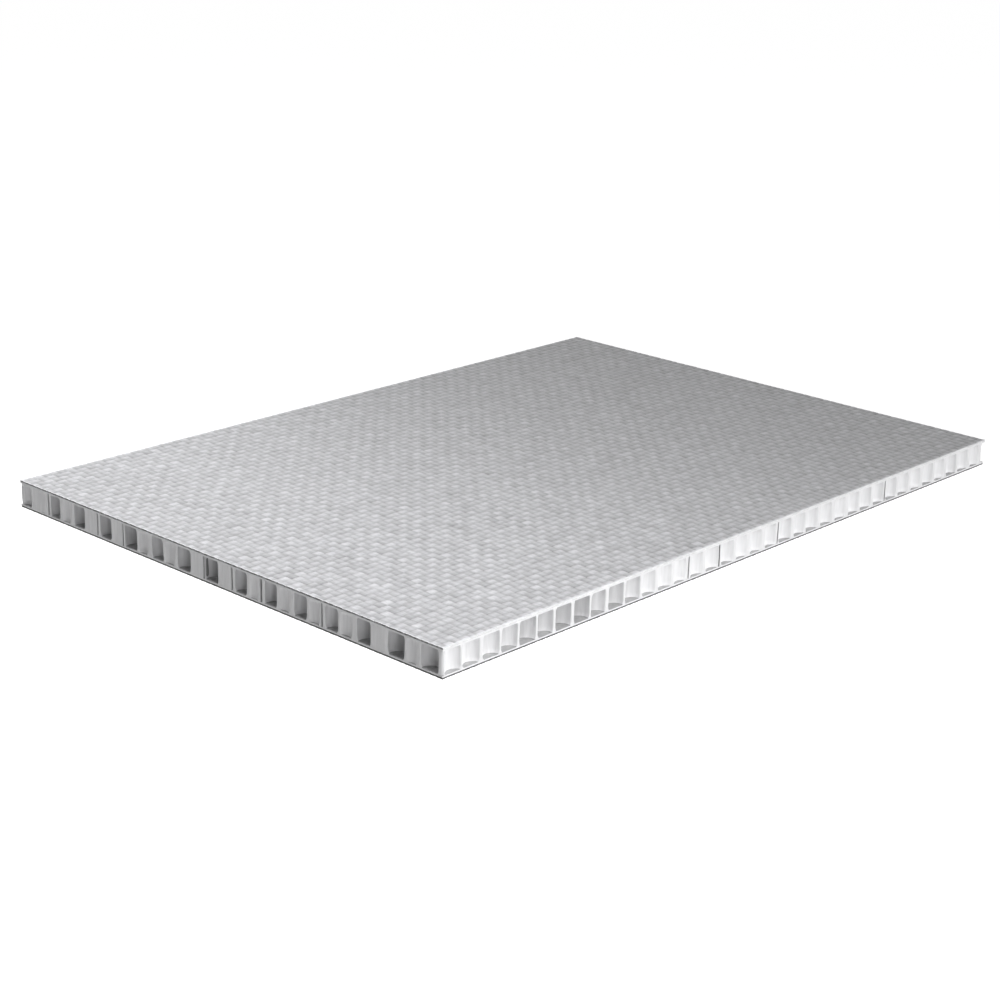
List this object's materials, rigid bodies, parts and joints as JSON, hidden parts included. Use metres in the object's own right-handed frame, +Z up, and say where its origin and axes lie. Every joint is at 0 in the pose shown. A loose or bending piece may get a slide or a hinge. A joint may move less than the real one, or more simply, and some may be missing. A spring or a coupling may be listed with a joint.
{
  "type": "polypropylene sandwich panel",
  "caption": "Flat rectangular sandwich panel with an open tubular honeycomb core between two woven face sheets.",
  "frame": {"origin": "centre of the underside", "axes": "+X along the long edges, +Y along the short edges, +Z up through the thickness"},
  "size_m": [0.297, 0.21, 0.01],
  "materials": {
    "woven_laminate": "satin woven glass and polypropylene laminate",
    "fused_film": "smooth milky polypropylene",
    "honeycomb": "satin milky polypropylene"
  },
  "bodies": {
    "root": {"top_face_sheet": "woven_laminate", "top_bond_film": "fused_film", "honeycomb_core": "honeycomb", "bottom_bond_film": "fused_film", "bottom_face_sheet": "woven_laminate"}
  },
  "joints": []
}
